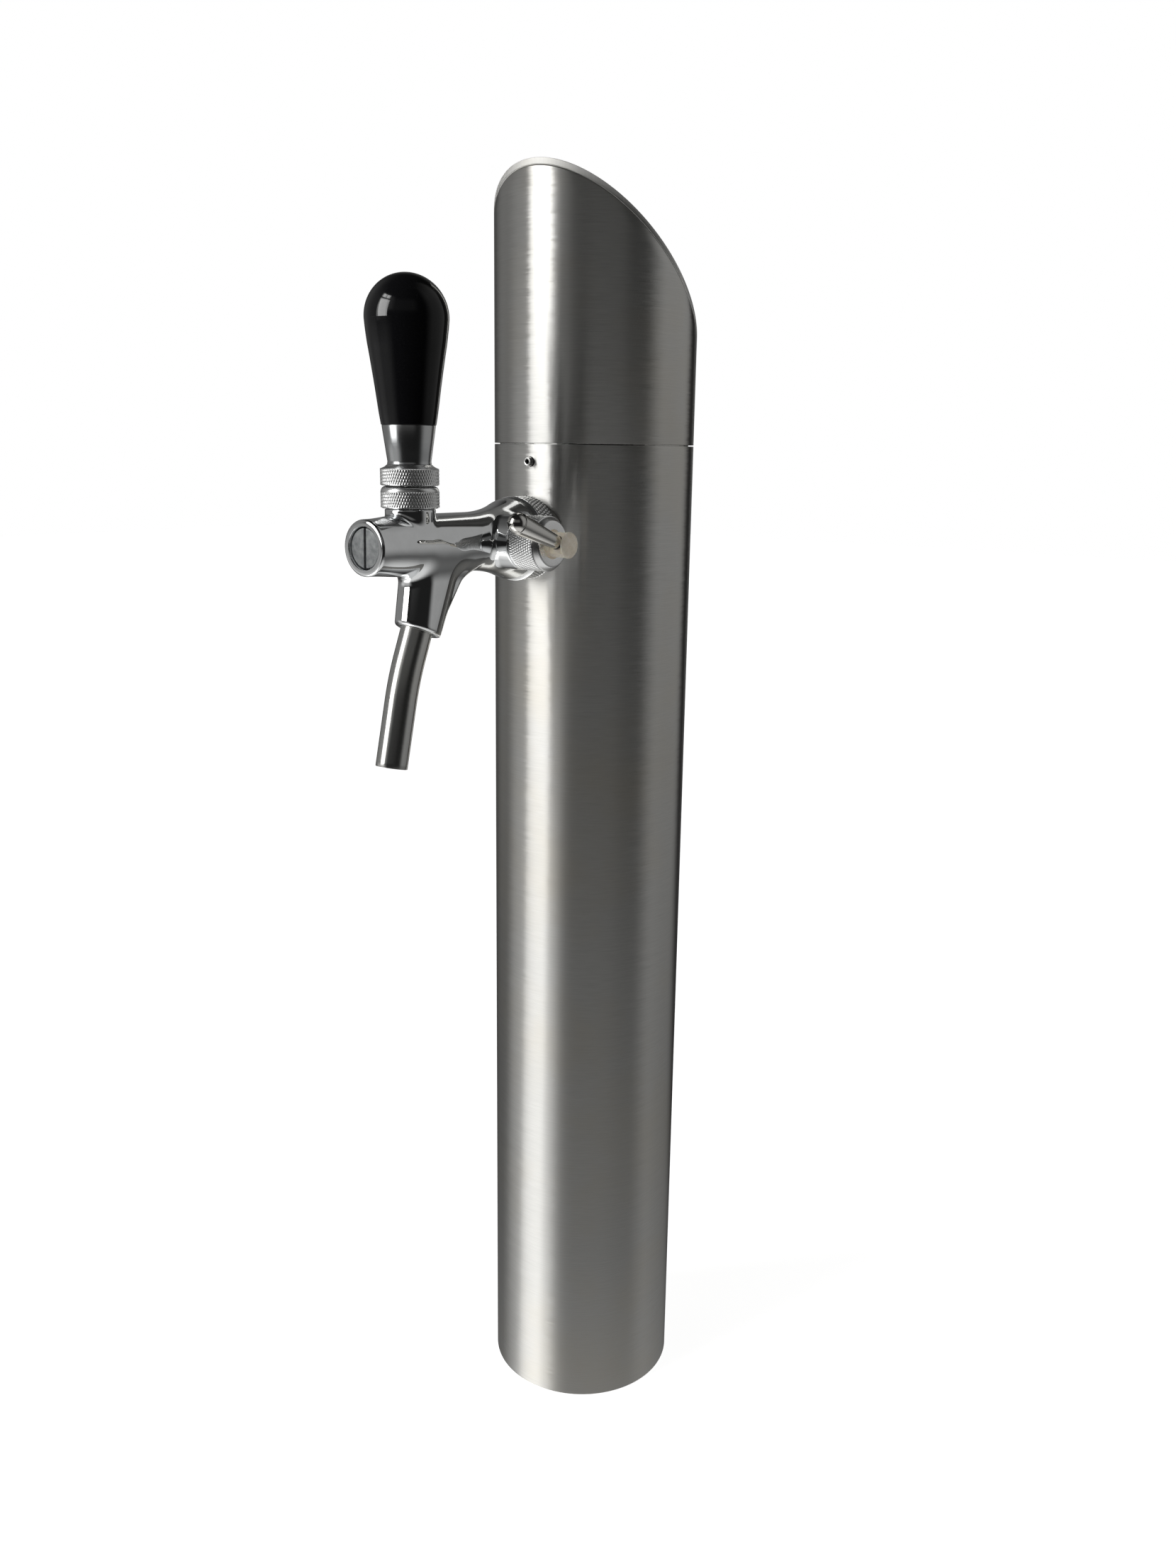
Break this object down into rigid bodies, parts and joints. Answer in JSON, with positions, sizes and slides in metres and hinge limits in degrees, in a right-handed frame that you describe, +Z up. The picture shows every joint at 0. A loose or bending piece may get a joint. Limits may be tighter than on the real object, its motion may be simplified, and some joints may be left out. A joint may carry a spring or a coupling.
{
  "type": "beer tap tower",
  "caption": "Round brushed steel beer tower with a slanted lift-off hood and one chromed compensator tap with a black tilting handle and a curved spout.",
  "frame": {"origin": "centre of the foot's lower face, on the column's axis, at counter level", "axes": "+Z up the column, -Y the way the tap points, +X the side the compensator lever is on"},
  "size_m": [0.0888, 0.1861, 0.5737],
  "materials": {
    "brushed_column": "brushed round the column, satin",
    "plain_steel": "plain stainless steel",
    "satin_spout": "satin stainless steel, brushed round",
    "polished_chrome": "mirror-polished chrome plate",
    "knurled_chrome": "chrome plate over a fine diamond knurl",
    "cast_zinc": "matte grey casting",
    "plain_brass": "machined",
    "black_grip": "polished black moulded plastic",
    "cream_plastic": "cream moulded plastic, slightly translucent",
    "white_plastic": "natural white plastic",
    "line_plastic": "milky beer tubing",
    "black_rubber": "black food-grade rubber"
  },
  "bodies": {
    "tower": {"column_tube": "brushed_column", "base_plate": "plain_steel", "hood_set_screw": "plain_steel", "tap_body": "polished_chrome", "front_plug": "cast_zinc", "front_plug_seal": "black_rubber", "neck_gland_nut": "knurled_chrome", "ball_seat_seal": "white_plastic", "spout_pipe": "satin_spout", "spout_seal": "black_rubber", "compensator_gland_nut": "knurled_chrome", "coupling_nut": "knurled_chrome", "nut_retaining_ring": "plain_steel", "coupling_gasket": "black_rubber", "shank": "plain_brass", "outer_saddle_washer": "plain_steel", "inner_saddle_washer": "white_plastic", "shank_lock_nut": "plain_brass", "hose_tail_gasket": "black_rubber", "hose_tail": "plain_brass", "hose_nut": "plain_brass", "beer_line": "line_plastic"},
    "hood": {"hood_tube": "brushed_column", "hood_lid": "brushed_column", "hood_sleeve": "plain_steel"},
    "handle": {"lever_spindle": "plain_steel", "handle_lock_ring": "knurled_chrome", "handle_ferrule": "polished_chrome", "handle_grip": "black_grip"},
    "valve": {"valve_stem": "plain_steel", "valve_seal": "black_rubber"},
    "compensator_knob": {"compensator_spindle": "cream_plastic", "spindle_seal": "black_rubber", "compensator_lever": "satin_spout", "lever_ring": "black_rubber"},
    "compensator_cone": {"compensator_cone": "white_plastic"}
  },
  "joints": [
    {"name": "handle_tilt", "type": "hinge", "parent": "tower", "child": "handle", "pos_m": [0, -0.1167, 0.4395], "axis": [1, 0, 0], "range_deg": [-12, 25]},
    {"name": "valve_slide", "type": "slide", "parent": "tower", "child": "valve", "axis": [0, 1, 0], "range_m": [-0.0034, 0.0069]},
    {"name": "compensator_turn", "type": "hinge", "parent": "tower", "child": "compensator_knob", "pos_m": [0.0376, -0.0705, 0.4234], "axis": [1, 0, 0], "range_deg": [-41, 79]},
    {"name": "compensator_slide", "type": "slide", "parent": "tower", "child": "compensator_cone", "axis": [0, -1, 0], "range_m": [-0.0016, 0.0031]},
    {"name": "hood_lift", "type": "slide", "parent": "tower", "child": "hood", "axis": [0, 0, 1], "range_m": [0, 0.018]}
  ],
  "couplings": [
    {"joint": "valve_slide", "follows": "handle_tilt", "m_per_rad": 0.01559},
    {"joint": "compensator_slide", "follows": "compensator_turn", "m_per_rad": 0.0022}
  ]
}
